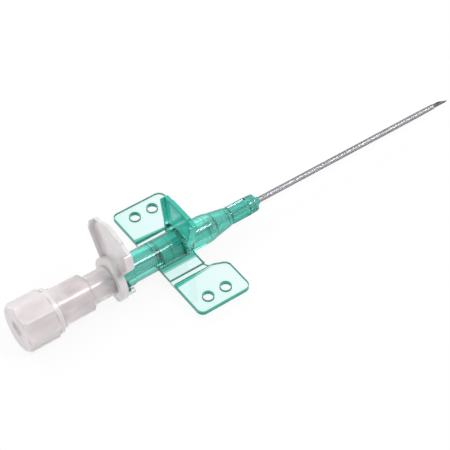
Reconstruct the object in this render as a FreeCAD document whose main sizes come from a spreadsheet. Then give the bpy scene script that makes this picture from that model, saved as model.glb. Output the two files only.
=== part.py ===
import FreeCAD
import Part
import Sketcher
import math
import os

# Winged intravenous cannula: a catheter hub with wings and tube, and the needle unit that sits in it.
# X runs along the barrel towards the needle tip, +Z is up, and x = 0 is the front face of the nose.
# All lengths are in millimetres and all angles in degrees.

driving = {
    # catheter hub, barrel and nose
    "hub_length": 33.6,
    "nose_radius": 1.87,
    "nose_length": 7.4,
    "nose_rim_radius": 1.45,
    "nose_rim_back": 1.1,
    "nose_bevel_length": 0.8,
    "tube_collar_radius": 0.78,
    "tube_collar_flare": 0.2,
    "nose_step_length": 0.8,
    "cone_front_radius": 2.08,
    "cone_rear_radius": 2.62,
    "cone_length": 3.2,
    "shoulder_length": 1.9,
    "shoulder_radius": 2.86,
    "shoulder_split": 0.9,
    "barrel_radius": 2.97,
    "ring_groove_depth": 0.16,
    "ring_groove_width": 0.45,
    "ring_groove_from_mouth": 7.6,
    "collar_radius": 3.15,
    "collar_length": 2.7,
    "flat_depth": 0.42,
    "flat_margin": 0.3,
    "flat_start": 2.9,
    # luer socket and the bores in front of it
    "luer_mouth_radius": 2.15,
    "luer_taper": 0.03,
    "luer_depth": 10.6,
    "chamber_radius": 1.68,
    "chamber_length": 11.4,
    "funnel_length": 2.9,
    "flare_bore_length": 8.0,
    # lugs at the mouth
    "lug_reach": 4.25,
    "lug_half_height": 1.05,
    "lug_thickness": 0.7,
    # push-off tab
    "tab_rear": 19.75,
    "tab_thickness": 1.65,
    "tab_top_height": 8.75,
    "tab_top_half_width": 5.1,
    "tab_root_half_width": 3.5,
    "tab_corner_radius": 0.45,
    "tab_rim": 0.45,
    "tab_recess": 0.8,
    "tab_recess_start": 2.5,
    "tab_crest_height": 0.28,
    "tab_crest_half_width": 3.25,
    # wings
    "wing_front": 12.8,
    "wing_rear": 24.8,
    "wing_root_front": 16.85,
    "wing_half_span": 15.5,
    "wing_top_drop": 2.26,
    "wing_thickness": 1.02,
    "wing_neck_half": 5.9,
    "wing_shoulder_half": 7.6,
    "wing_neck_rounding": 1.9,
    "wing_shoulder_rounding": 1.6,
    "wing_rear_rounding": 1.35,
    "wing_front_rounding": 1.6,
    "wing_edge_bevel": 0.16,
    "hinge_near": 5.3,
    "hinge_width": 1.25,
    "hinge_web": 0.38,
    "suture_front": 16.95,
    "suture_pitch": 4.1,
    "suture_offset": 12.52,
    "suture_radius": 1.0,
    "suture_rim_bevel": 0.2,
    # catheter tube and the ferrule that wedges it
    "tube_length": 45.9,
    "tube_outer_radius": 0.6,
    "tube_wall": 0.125,
    "tube_tip_wall": 0.05,
    "tube_tip_length": 4.0,
    "tube_flare": 0.17,
    "tube_flare_length": 7.7,
    "tube_flare_ramp": 0.7,
    "ferrule_wall": 0.1,
    "ferrule_cone_length": 1.9,
    "ferrule_sleeve_length": 5.6,
    "ferrule_mouth_radius": 1.22,
    "bond_gap": 0.02,
    # needle
    "needle_radius": 0.44,
    "needle_bore_radius": 0.3,
    "needle_reach": 50.0,
    "needle_tail": 1.4,
    "bevel_slope": 0.235,
    "lancet_slope": 0.31,
    "lancet_roll": 38.0,
    "lancet_drop": 0.79,
    # needle hub with its grip plate
    "seat_gap": 0.1,
    "luer_gap": 0.05,
    "stem_length": 9.0,
    "stem_nose": 0.7,
    "disc_radius": 4.68,
    "disc_thickness": 1.55,
    "disc_bevel": 0.18,
    "disc_flat_drop": 3.45,
    "plate_front": 0.4,
    "plate_thickness": 1.6,
    "plate_root_height": 3.45,
    "plate_root_half_width": 3.3,
    "plate_wide_height": 8.6,
    "plate_wide_half_width": 6.8,
    "plate_wide_rounding": 1.6,
    "plate_shoulder_height": 11.4,
    "plate_shoulder_half_width": 6.15,
    "plate_shoulder_rounding": 1.0,
    "plate_top_height": 13.1,
    "plate_crown_rounding": 9.0,
    "plate_rim": 0.5,
    "plate_recess": 0.9,
    "plate_crest_half_width": 3.5,
    "plate_crest_height": 0.3,
    "peg_radius": 0.55,
    "peg_length": 2.0,
    "peg_side": 3.4,
    "peg_drop": 1.9,
    "body_radius": 2.99,
    "body_length": 4.95,
    "flash_radius": 2.15,
    "flash_step_radius": 1.35,
    "flash_front": 1.9,
    "flash_cone_length": 1.3,
    "spigot_radius": 2.6,
    "spigot_length": 3.4,
    # flash plug and its porous disc
    "plug_radius": 3.83,
    "plug_length": 6.5,
    "plug_bevel": 0.3,
    "plug_ring_radius": 4.08,
    "plug_ring_length": 0.75,
    "plug_floor": 0.9,
    "spigot_gap": 0.03,
    "plug_vent_radius": 0.8,
    "plug_neck_radius": 2.95,
    "plug_neck_length": 5.6,
    "plug_lug_reach": 3.65,
    "plug_lug_thickness": 0.9,
    "plug_lug_half_height": 1.2,
    "filter_thickness": 0.6,
    # luer cap
    "cap_gap": 0.1,
    "cap_length": 7.75,
    "cap_band_length": 1.0,
    "cap_band_radius": 4.72,
    "cap_corner_radius": 4.92,
    "cap_bore_radius": 3.95,
    "cap_wall": 1.35,
    "cap_band_bevel": 0.2,
    "cap_edge_bevel": 0.32,
    "cap_rib_radius": 5.1,
    "cap_rib_half_width": 0.2,
    "cap_rib_length": 6.2,
    "cap_turn": 37.1,
    "cap_stem_length": 5.4,
    "cap_dimple_radius": 1.75,
    "cap_dimple_depth": 0.45,
}

document = FreeCAD.newDocument("cannula")
sheet = document.addObject("Spreadsheet::Sheet", "Sizes")
for row, (alias, number) in enumerate(driving.items(), start=1):
    sheet.set(f"A{row}", alias)
    sheet.set(f"B{row}", str(number))
    sheet.setAlias(f"B{row}", alias)
document.recompute()


class Size:
    """A length worked out from the sheet: its number, and the text that binds a property to it."""

    def __init__(self, text, number):
        self.text = text
        self.number = number

    def __add__(self, other):
        other = as_size(other)
        return Size(f"({self.text} + {other.text})", self.number + other.number)

    def __sub__(self, other):
        other = as_size(other)
        return Size(f"({self.text} - {other.text})", self.number - other.number)

    def __mul__(self, other):
        other = as_size(other)
        return Size(f"({self.text} * {other.text})", self.number * other.number)

    def __truediv__(self, other):
        other = as_size(other)
        return Size(f"({self.text} / {other.text})", self.number / other.number)

    def __neg__(self):
        return Size(f"(0 - {self.text})", -self.number)

    __radd__ = __add__
    __rmul__ = __mul__


def as_size(value):
    """A plain number becomes a size, and a size stays as it is."""
    if isinstance(value, Size):
        return value
    return Size(f"({float(value)})", float(value))


def size(alias):
    """The size held in the sheet under this alias."""
    return Size(f"Sizes.{alias}", float(sheet.get(alias)))


def bind(thing, prop, value):
    """Set a property to a size and keep it bound to the sheet."""
    thing.setExpression(prop, as_size(value).text)


def new_body(label, x=None):
    """A body whose own origin lies at x on the barrel's axis."""
    body = document.addObject("PartDesign::Body", label)
    body.Label = label
    if x is not None:
        bind(body, "Placement.Base.x", x)
    return body


def origin_part(body, role):
    """A plane or axis of the body's own origin."""
    return next(item for item in body.Origin.OriginFeatures if item.Role == role)


def new_sketch(body, name, role, offset=None, roll=None, about=(0, 0, 1)):
    """A sketch on an origin plane, moved along the plane's normal and turned about an axis."""
    sketch = body.newObject("Sketcher::SketchObject", name)
    sketch.AttachmentSupport = [(origin_part(body, role), "")]
    sketch.MapMode = "FlatFace"
    if roll is not None:
        turn = FreeCAD.Rotation(FreeCAD.Vector(*about), roll)
        sketch.AttachmentOffset = FreeCAD.Placement(FreeCAD.Vector(0, 0, 0), turn)
    if offset is not None:
        bind(sketch, "AttachmentOffset.Base.z", offset)
    return sketch


def pin_vertex(sketch, geometry, vertex, across, up):
    """Hold one vertex at bound distances from the sketch's origin."""
    for kind, value in (("DistanceX", across), ("DistanceY", up)):
        value = as_size(value)
        index = sketch.addConstraint(
            Sketcher.Constraint(kind, -1, 1, geometry, vertex, value.number)
        )
        sketch.setExpression(f"Constraints[{index}]", value.text)


def rounded_corner(before, place, after, radius):
    """Where a corner's arc begins and ends, the arc itself and whether it turns left."""
    back = (before - place).normalize()
    on = (after - place).normalize()
    half = 0.5 * back.getAngle(on)
    begin = place + back * (radius / math.tan(half))
    end = place + on * (radius / math.tan(half))
    centre = place + (back + on).normalize() * (radius / math.sin(half))
    left = back.cross(on).z < 0
    first, last = (begin, end) if left else (end, begin)
    start_angle = math.atan2(first.y - centre.y, first.x - centre.x)
    end_angle = math.atan2(last.y - centre.y, last.x - centre.x)
    if end_angle < start_angle:
        end_angle += 2 * math.pi
    circle = Part.Circle(centre, FreeCAD.Vector(0, 0, 1), radius)
    return begin, end, Part.ArcOfCircle(circle, start_angle, end_angle), left


def draw_outline(sketch, corners):
    """A closed outline through corners (across, up) or (across, up, rounding)."""
    places = [FreeCAD.Vector(as_size(c[0]).number, as_size(c[1]).number, 0) for c in corners]
    count = len(corners)
    arrive = list(places)
    leave = list(places)
    arcs = {}
    for i, corner in enumerate(corners):
        if len(corner) == 3:
            radius = as_size(corner[2]).number
            arrive[i], leave[i], arc, left = rounded_corner(
                places[i - 1], places[i], places[(i + 1) % count], radius
            )
            arcs[i] = (arc, left)
    lines = []
    for i in range(count):
        side = Part.LineSegment(leave[i], arrive[(i + 1) % count])
        lines.append(sketch.addGeometry(side, False))
    for i, corner in enumerate(corners):
        before, after = lines[i - 1], lines[i]
        if i not in arcs:
            sketch.addConstraint(Sketcher.Constraint("Coincident", before, 2, after, 1))
            pin_vertex(sketch, after, 1, corner[0], corner[1])
            continue
        arc, left = arcs[i]
        first, last = (1, 2) if left else (2, 1)
        bend = sketch.addGeometry(arc, False)
        sketch.addConstraint(Sketcher.Constraint("Tangent", before, 2, bend, first))
        sketch.addConstraint(Sketcher.Constraint("Tangent", bend, last, after, 1))
        radius = as_size(corner[2])
        index = sketch.addConstraint(Sketcher.Constraint("Radius", bend, radius.number))
        sketch.setExpression(f"Constraints[{index}]", radius.text)
        mark = sketch.addGeometry(Part.Point(places[i]), True)
        pin_vertex(sketch, mark, 1, corner[0], corner[1])
        sketch.addConstraint(Sketcher.Constraint("PointOnObject", mark, 1, before))
        sketch.addConstraint(Sketcher.Constraint("PointOnObject", mark, 1, after))


def draw_circle(sketch, across, up, radius):
    """A circle held by its centre and its radius."""
    centre = FreeCAD.Vector(as_size(across).number, as_size(up).number, 0)
    ring = sketch.addGeometry(
        Part.Circle(centre, FreeCAD.Vector(0, 0, 1), as_size(radius).number), False
    )
    pin_vertex(sketch, ring, 3, across, up)
    index = sketch.addConstraint(Sketcher.Constraint("Radius", ring, as_size(radius).number))
    sketch.setExpression(f"Constraints[{index}]", as_size(radius).text)


def volume(body):
    document.recompute()
    return body.Shape.Volume


def revolve(body, name, corners):
    """Turn a profile of (x, radius) corners into solid round the barrel's axis."""
    sketch = new_sketch(body, name + "_profile", "XY_Plane")
    draw_outline(sketch, corners)
    feature = body.newObject("PartDesign::Revolution", name)
    feature.Profile = sketch
    feature.ReferenceAxis = (sketch, ["H_Axis"])
    feature.Angle = 360.0
    document.recompute()
    return feature


def bore(body, name, corners):
    """Cut a profile of (x, radius) corners out of the body round the barrel's axis."""
    before = volume(body)
    sketch = new_sketch(body, name + "_profile", "XY_Plane")
    draw_outline(sketch, corners)
    feature = body.newObject("PartDesign::Groove", name)
    feature.Profile = sketch
    feature.ReferenceAxis = (sketch, ["H_Axis"])
    feature.Angle = 360.0
    assert volume(body) < before, name
    return feature


def pad(body, name, role, corners, offset, length):
    """Add an outline's prism, from its plane towards the plane's normal."""
    before = volume(body)
    sketch = new_sketch(body, name + "_outline", role, offset)
    draw_outline(sketch, corners)
    feature = body.newObject("PartDesign::Pad", name)
    feature.Profile = sketch
    bind(feature, "Length", length)
    assert volume(body) > before, name
    return feature


def pocket(body, name, role, corners, offset, length, along_normal, roll=None):
    """Cut an outline's prism out of the body, along the plane's normal or against it."""
    before = volume(body)
    sketch = new_sketch(body, name + "_outline", role, offset, roll)
    draw_outline(sketch, corners)
    feature = body.newObject("PartDesign::Pocket", name)
    feature.Profile = sketch
    bind(feature, "Length", length)
    feature.Reversed = along_normal
    assert volume(body) < before, name
    return feature


def bevel_edges(body, name, width, wanted):
    """Bevel every edge whose sampled points all pass the test."""
    document.recompute()
    base = body.Tip
    chosen = []
    for number, edge in enumerate(base.Shape.Edges, start=1):
        if edge.Length > 0.05 and all(wanted(point) for point in edge.discretize(5)):
            chosen.append(f"Edge{number}")
    assert chosen, name
    before = volume(body)
    feature = body.newObject("PartDesign::Chamfer", name)
    feature.Base = (base, chosen)
    bind(feature, "Size", width)
    assert volume(body) < before, name
    return feature


def repeat_round(body, name, feature, count):
    """Copy a feature evenly round the barrel's axis."""
    before = volume(body)
    pattern = body.newObject("PartDesign::PolarPattern", name)
    pattern.Originals = [feature]
    pattern.Axis = (origin_part(body, "X_Axis"), [""])
    pattern.Angle = 360.0
    pattern.Occurrences = count
    body.Tip = pattern
    assert abs(volume(body) - before) > 1e-3, name
    return pattern


def mirror_sideways(body, name, features):
    """Copy features to the other side of the barrel."""
    before = volume(body)
    mirrored = body.newObject("PartDesign::Mirrored", name)
    mirrored.Originals = features
    mirrored.MirrorPlane = (origin_part(body, "XZ_Plane"), [""])
    body.Tip = mirrored
    assert abs(volume(body) - before) > 1e-3, name
    return mirrored


# Stations along the barrel that more than one piece uses
mouth_x = -size("hub_length")
seat_x = mouth_x - size("seat_gap")
plug_x = seat_x - size("disc_thickness") - size("body_length")
cap_x = plug_x - size("plug_length") - size("plug_ring_length") - size("cap_gap")
chamber_front_x = mouth_x + size("luer_depth") + size("chamber_length")
flare_rear_x = chamber_front_x + size("funnel_length")
flare_front_x = flare_rear_x + size("flare_bore_length")
tube_bore_radius = size("tube_outer_radius") + size("bond_gap")
tube_inner_radius = size("tube_outer_radius") - size("tube_wall")


def socket_radius(depth):
    """Radius of the female luer taper at a depth behind its mouth."""
    return size("luer_mouth_radius") - size("luer_taper") * depth


def stem_radius(depth):
    """Radius of a male luer stem at the depth it reaches in the socket."""
    return socket_radius(depth) - size("luer_gap")


def add_mouth_lugs(body, mouth, reach, half_height, thickness, along_normal):
    """Two luer lock lugs that stand out sideways at a socket's mouth."""
    bevel = half_height * 0.35
    for word, side in (("near", -1), ("far", 1)):
        root = size("luer_mouth_radius") * side
        lug = pad(body, "lug_" + word, "YZ_Plane", [
            (root, -half_height),
            ((reach - bevel) * side, -half_height),
            (reach * side, bevel - half_height),
            (reach * side, half_height - bevel),
            ((reach - bevel) * side, half_height),
            (root, half_height),
        ], mouth, thickness)
        lug.Reversed = not along_normal


# Catheter hub: barrel, nose, wings and push-off tab in one moulding
def build_catheter_hub():
    body = new_body("catheter_hub")
    nose_step_x = -size("nose_length") - size("nose_step_length")
    cone_rear_x = nose_step_x - size("cone_length")
    barrel = size("barrel_radius")
    revolve(body, "barrel", [
        (0, 0),
        (0, size("tube_collar_radius")),
        (-size("nose_rim_back"), size("tube_collar_radius") + size("tube_collar_flare")),
        (-size("nose_rim_back"), size("nose_rim_radius")),
        (-size("nose_rim_back") - size("nose_bevel_length"), size("nose_radius")),
        (-size("nose_length"), size("nose_radius")),
        (nose_step_x, size("cone_front_radius")),
        (cone_rear_x, size("cone_rear_radius")),
        (cone_rear_x - size("shoulder_split"), size("shoulder_radius")),
        (cone_rear_x - size("shoulder_length"), barrel),
        (mouth_x + size("collar_length"), barrel),
        (mouth_x + size("collar_length"), size("collar_radius")),
        (mouth_x, size("collar_radius")),
        (mouth_x, 0),
    ])
    add_wings(body)
    add_tab(body)
    add_mouth_lugs(body, mouth_x, size("lug_reach"), size("lug_half_height"),
                   size("lug_thickness"), True)
    add_nose_flats(body)
    groove_x = mouth_x + size("ring_groove_from_mouth")
    groove_floor = barrel - size("ring_groove_depth")
    bore(body, "ring_groove", [
        (groove_x, groove_floor),
        (groove_x + size("ring_groove_width"), groove_floor),
        (groove_x + size("ring_groove_width"), barrel + 0.01),
        (groove_x, barrel + 0.01),
    ])
    bore(body, "through_bore", [
        (mouth_x, 0),
        (mouth_x, socket_radius(as_size(0))),
        (mouth_x + size("luer_depth"), socket_radius(size("luer_depth"))),
        (mouth_x + size("luer_depth"), size("chamber_radius")),
        (chamber_front_x, size("chamber_radius")),
        (flare_rear_x, tube_bore_radius + size("tube_flare")),
        (flare_front_x, tube_bore_radius + size("tube_flare")),
        (flare_front_x + size("tube_flare_ramp"), tube_bore_radius),
        (0, tube_bore_radius),
        (0, 0),
    ])
    return body


def add_wings(body):
    """Near wing with its hinge groove and suture holes, then the far wing as its mirror."""
    top_z = -size("wing_top_drop")
    bottom_z = top_z - size("wing_thickness")
    slab = pad(body, "wing", "XY_Plane", [
        (-size("wing_rear"), 0),
        (-size("wing_rear"), -size("wing_half_span"), size("wing_rear_rounding")),
        (-size("wing_front"), -size("wing_half_span"), size("wing_front_rounding")),
        (-size("wing_front"), -size("wing_shoulder_half"), size("wing_shoulder_rounding")),
        (-size("wing_root_front"), -size("wing_neck_half"), size("wing_neck_rounding")),
        (-size("wing_root_front"), 0),
    ], bottom_z, size("wing_thickness"))
    hinge_far = size("hinge_near") + size("hinge_width")
    groove = pocket(body, "hinge_groove", "XY_Plane", [
        (-size("wing_rear") - 1, -size("hinge_near")),
        (-size("wing_rear") - 1, -hinge_far),
        (-size("wing_front"), -hinge_far),
        (-size("wing_front"), -size("hinge_near")),
    ], top_z, size("wing_thickness") - size("hinge_web"), False)
    before = volume(body)
    sketch = new_sketch(body, "suture_outline", "XY_Plane", top_z)
    for step in (0, 1):
        hole_x = -size("suture_front") - size("suture_pitch") * step
        draw_circle(sketch, hole_x, -size("suture_offset"), size("suture_radius"))
    holes = body.newObject("PartDesign::Pocket", "suture_holes")
    holes.Profile = sketch
    bind(holes, "Length", size("wing_thickness") + 1)
    assert volume(body) < before, "suture_holes"
    mirror_sideways(body, "far_wing", [slab, groove, holes])
    groove_walls = (size("hinge_near").number, hinge_far.number)
    hole_reach = size("suture_radius").number

    def on_outline(point):
        level = min(abs(point.z - top_z.number), abs(point.z - bottom_z.number)) < 1e-4
        outboard = abs(point.y) > hinge_far.number - 1e-3
        on_wall = min(abs(abs(point.y) - wall) for wall in groove_walls) < 1e-3
        return level and outboard and not on_wall and not near_hole(point, hole_reach)

    bevel_edges(body, "wing_edges", size("wing_edge_bevel"), on_outline)
    bevel_edges(body, "suture_rims", size("suture_rim_bevel"), lambda p: near_hole(p, hole_reach))


def near_hole(point, reach):
    """True on the rim of a suture hole."""
    for step in (0, 1):
        hole_x = -size("suture_front").number - size("suture_pitch").number * step
        across = abs(point.y) - size("suture_offset").number
        if abs(math.hypot(point.x - hole_x, across) - reach) < 0.02:
            return True
    return False


def add_tab(body):
    """Upright push-off tab: hollowed behind between two side rims, with a small crest on top."""
    top = size("tab_top_height")
    wide = size("tab_top_half_width")
    root = size("tab_root_half_width")
    rim = size("tab_rim")
    rear_x = -size("tab_rear")
    pad(body, "tab", "YZ_Plane", [
        (-root, 0),
        (root, 0),
        (wide, top, size("tab_corner_radius")),
        (-wide, top, size("tab_corner_radius")),
    ], rear_x, size("tab_thickness"))
    floor_z = size("tab_recess_start")
    lean = (wide - root) / top
    floor_half = root + lean * floor_z - rim
    open_z = top + 0.5
    open_half = root + lean * open_z - rim
    pocket(body, "tab_recess", "YZ_Plane", [
        (-floor_half, floor_z),
        (floor_half, floor_z),
        (open_half, open_z),
        (-open_half, open_z),
    ], rear_x, size("tab_recess"), True)
    crest = size("tab_crest_half_width")
    pad(body, "tab_crest", "YZ_Plane", [
        (-crest, top - 0.5),
        (crest, top - 0.5),
        (crest - size("tab_crest_height"), top + size("tab_crest_height")),
        (size("tab_crest_height") - crest, top + size("tab_crest_height")),
    ], rear_x + size("tab_recess"), size("tab_thickness") - size("tab_recess"))


def add_nose_flats(body):
    """Four long flats in the nose, which leave grip ribs between them."""
    inner = size("nose_radius") - size("flat_depth")
    outer = size("nose_radius") + 1
    length = size("nose_length") - size("flat_margin") - size("flat_start")
    flat = pocket(body, "nose_flat", "YZ_Plane", [
        (-outer, inner),
        (outer, inner),
        (outer, outer),
        (-outer, outer),
    ], size("flat_margin") - size("nose_length"), length, True, 45.0)
    repeat_round(body, "nose_flats", flat, 4)


# Catheter tube, flared at its rear over the ferrule and tapered at its tip
def build_catheter_tube():
    rear_x = flare_front_x - size("tube_flare_length")
    body = new_body("catheter_tube", rear_x)
    straight = size("tube_flare_length")
    ramp_end = straight + size("tube_flare_ramp")
    tip = size("tube_length") - rear_x
    taper_start = tip - size("tube_tip_length")
    outer = size("tube_outer_radius")
    inner = tube_inner_radius
    flare = size("tube_flare")
    revolve(body, "tube", [
        (0, inner + flare),
        (0, outer + flare),
        (straight, outer + flare),
        (ramp_end, outer),
        (taper_start, outer),
        (tip, inner + size("tube_tip_wall")),
        (tip, inner),
        (ramp_end, inner),
        (straight, inner + flare),
    ])
    return body


# Ferrule: a thin steel sleeve that wedges the flared tube in the hub, with a guide cone behind
def build_ferrule():
    body = new_body("ferrule", flare_rear_x - size("ferrule_cone_length"))
    cone = size("ferrule_cone_length")
    front = cone + size("ferrule_sleeve_length")
    outer = tube_inner_radius + size("tube_flare") - size("bond_gap")
    inner = outer - size("ferrule_wall")
    mouth = size("ferrule_mouth_radius")
    revolve(body, "sleeve", [
        (0, mouth - size("ferrule_wall")),
        (0, mouth),
        (cone, outer),
        (front, outer),
        (front, inner),
        (cone, inner),
    ])
    return body


# Needle: a ground steel tube from the flash chamber to the tip
def build_needle():
    rear_x = seat_x - size("disc_thickness") - size("needle_tail")
    body = new_body("needle_cannula", rear_x)
    radius = size("needle_radius")
    tip = size("needle_reach") - rear_x
    revolve(body, "steel_tube", [
        (0, size("needle_bore_radius")),
        (0, radius),
        (tip, radius),
        (tip, size("needle_bore_radius")),
    ])
    grind(body, "bevel", tip, radius, size("bevel_slope"), 0.0)
    roll = size("lancet_roll").number
    low = radius * size("lancet_drop")
    for word, side in (("near", 1), ("far", -1)):
        grind(body, "lancet_" + word, tip, low, size("lancet_slope"), side * roll)
    return body


def grind(body, name, tip, low, slope, roll):
    """Cut the tip along a slanted plane that rises to the rear, rolled about the needle's axis."""
    before = volume(body)
    over = 1.0
    sketch = new_sketch(body, name + "_outline", "XZ_Plane", None, roll, (1, 0, 0))
    top = size("needle_radius") + 0.5
    draw_outline(sketch, [
        (tip - (top + low) / slope, top),
        (tip + over, -low - slope * over),
        (tip + over, top),
    ])
    feature = body.newObject("PartDesign::Pocket", name)
    feature.Profile = sketch
    feature.Midplane = True
    bind(feature, "Length", size("needle_radius") * 4)
    assert volume(body) < before, name
    return feature


# Needle hub: luer stem, grip plate with its disc, flash chamber and rear spigot
def build_needle_hub():
    body = new_body("needle_hub", seat_x)
    stem = size("stem_length")
    stem_nose = stem_radius(stem) - size("stem_nose") * 0.6
    bevel = size("disc_bevel")
    disc_rear = -size("disc_thickness")
    body_rear = disc_rear - size("body_length")
    spigot_rear = body_rear - size("spigot_length")
    revolve(body, "stem", [
        (stem, 0),
        (stem, stem_nose),
        (stem - size("stem_nose"), stem_radius(stem - size("stem_nose"))),
        (0, stem_radius(as_size(0))),
        (0, size("disc_radius")),
        (disc_rear / 2, size("disc_radius")),
        (disc_rear / 2, 0),
    ])
    add_grip_plate(body)
    revolve(body, "disc_and_chamber", [
        (0, 0),
        (0, size("disc_radius")),
        (disc_rear + bevel, size("disc_radius")),
        (disc_rear, size("disc_radius") - bevel),
        (disc_rear, size("body_radius")),
        (body_rear, size("body_radius")),
        (body_rear, size("spigot_radius")),
        (spigot_rear, size("spigot_radius")),
        (spigot_rear, 0),
    ])
    low = -size("disc_flat_drop")
    pocket(body, "disc_flat", "YZ_Plane", [
        (-size("disc_radius"), low),
        (-size("disc_radius"), low - 3),
        (size("disc_radius"), low - 3),
        (size("disc_radius"), low),
    ], disc_rear, size("disc_thickness"), True)
    for word, side in (("near", -1), ("far", 1)):
        before = volume(body)
        sketch = new_sketch(body, "peg_outline_" + word, "YZ_Plane", -bevel)
        draw_circle(sketch, size("peg_side") * side, -size("peg_drop"), size("peg_radius"))
        peg = body.newObject("PartDesign::Pad", "peg_" + word)
        peg.Profile = sketch
        bind(peg, "Length", size("peg_length") + bevel)
        assert volume(body) > before, peg.Name
    needle_hole = size("needle_radius") + size("bond_gap")
    flash_x = -size("flash_front")
    bore(body, "flash_chamber", [
        (stem, 0),
        (stem, needle_hole),
        (flash_x, needle_hole),
        (flash_x, size("flash_step_radius")),
        (flash_x - size("flash_cone_length"), size("flash_radius")),
        (spigot_rear, size("flash_radius")),
        (spigot_rear, 0),
    ])
    return body


def add_grip_plate(body):
    """Upright grip plate, hollowed behind between two side rims, with a crest along its top."""
    root, wide = size("plate_root_half_width"), size("plate_wide_half_width")
    shoulder = size("plate_shoulder_half_width")
    root_z, wide_z = size("plate_root_height"), size("plate_wide_height")
    shoulder_z, top_z = size("plate_shoulder_height"), size("plate_top_height")
    rear_x = size("plate_front") - size("plate_thickness")
    rim = size("plate_rim")
    pad(body, "grip_plate", "YZ_Plane", [
        (-root, root_z),
        (root, root_z),
        (wide, wide_z, size("plate_wide_rounding")),
        (shoulder, shoulder_z, size("plate_shoulder_rounding")),
        (0, top_z, size("plate_crown_rounding")),
        (-shoulder, shoulder_z, size("plate_shoulder_rounding")),
        (-wide, wide_z, size("plate_wide_rounding")),
    ], rear_x, size("plate_thickness"))
    inner_wide = wide - rim * 1.1
    inner_top = top_z + 1
    pocket(body, "plate_recess", "YZ_Plane", [
        (-root + rim, root_z - 0.5),
        (root - rim, root_z - 0.5),
        (inner_wide, wide_z, size("plate_wide_rounding")),
        (shoulder - rim, shoulder_z),
        (shoulder - rim, inner_top),
        (rim - shoulder, inner_top),
        (rim - shoulder, shoulder_z),
        (-inner_wide, wide_z, size("plate_wide_rounding")),
    ], rear_x, size("plate_recess"), True)
    crest = size("plate_crest_half_width")
    fall = (top_z - shoulder_z) / shoulder
    crest_end = top_z - fall * crest
    rise = size("plate_crest_height")
    pad(body, "plate_crest", "YZ_Plane", [
        (-crest, crest_end - 1),
        (crest, crest_end - 1),
        (crest, crest_end - 0.1),
        (crest - rise, crest_end + rise),
        (0, top_z + rise, size("plate_crown_rounding")),
        (rise - crest, crest_end + rise),
        (-crest, crest_end - 0.1),
    ], rear_x + size("plate_recess"), size("plate_thickness") - size("plate_recess"))


# Flash plug: a socket over the hub's spigot, a vented floor and a luer socket behind
def build_flash_plug():
    body = new_body("flash_plug", plug_x)
    outer = size("plug_radius")
    ring_front = -size("plug_length")
    ring_rear = ring_front - size("plug_ring_length")
    neck_rear = ring_rear - size("plug_neck_length")
    revolve(body, "plug_shape", [
        (0, 0),
        (0, outer - size("plug_bevel")),
        (-size("plug_bevel"), outer),
        (ring_front, outer),
        (ring_front, size("plug_ring_radius")),
        (ring_rear, size("plug_ring_radius")),
        (ring_rear, size("plug_neck_radius")),
        (neck_rear, size("plug_neck_radius")),
        (neck_rear, 0),
    ])
    add_mouth_lugs(body, neck_rear, size("plug_lug_reach"), size("plug_lug_half_height"),
                   size("plug_lug_thickness"), True)
    socket = size("spigot_radius") + size("spigot_gap")
    socket_floor = -size("spigot_length") - size("filter_thickness") - size("spigot_gap") * 2
    luer_floor = socket_floor - size("plug_floor")
    bore(body, "plug_bore", [
        (0, 0),
        (0, socket),
        (socket_floor, socket),
        (socket_floor, size("plug_vent_radius")),
        (luer_floor, size("plug_vent_radius")),
        (luer_floor, socket_radius(luer_floor - neck_rear)),
        (neck_rear, socket_radius(as_size(0))),
        (neck_rear, 0),
    ])
    return body


# Porous disc that lets air out of the flash chamber
def build_filter_disc():
    gap = size("spigot_gap")
    rear_x = plug_x - size("spigot_length") - size("filter_thickness") - gap
    body = new_body("filter_disc", rear_x)
    revolve(body, "porous_disc", [
        (0, 0),
        (0, size("spigot_radius") - gap),
        (size("filter_thickness"), size("spigot_radius") - gap),
        (size("filter_thickness"), 0),
    ])
    return body


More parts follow.
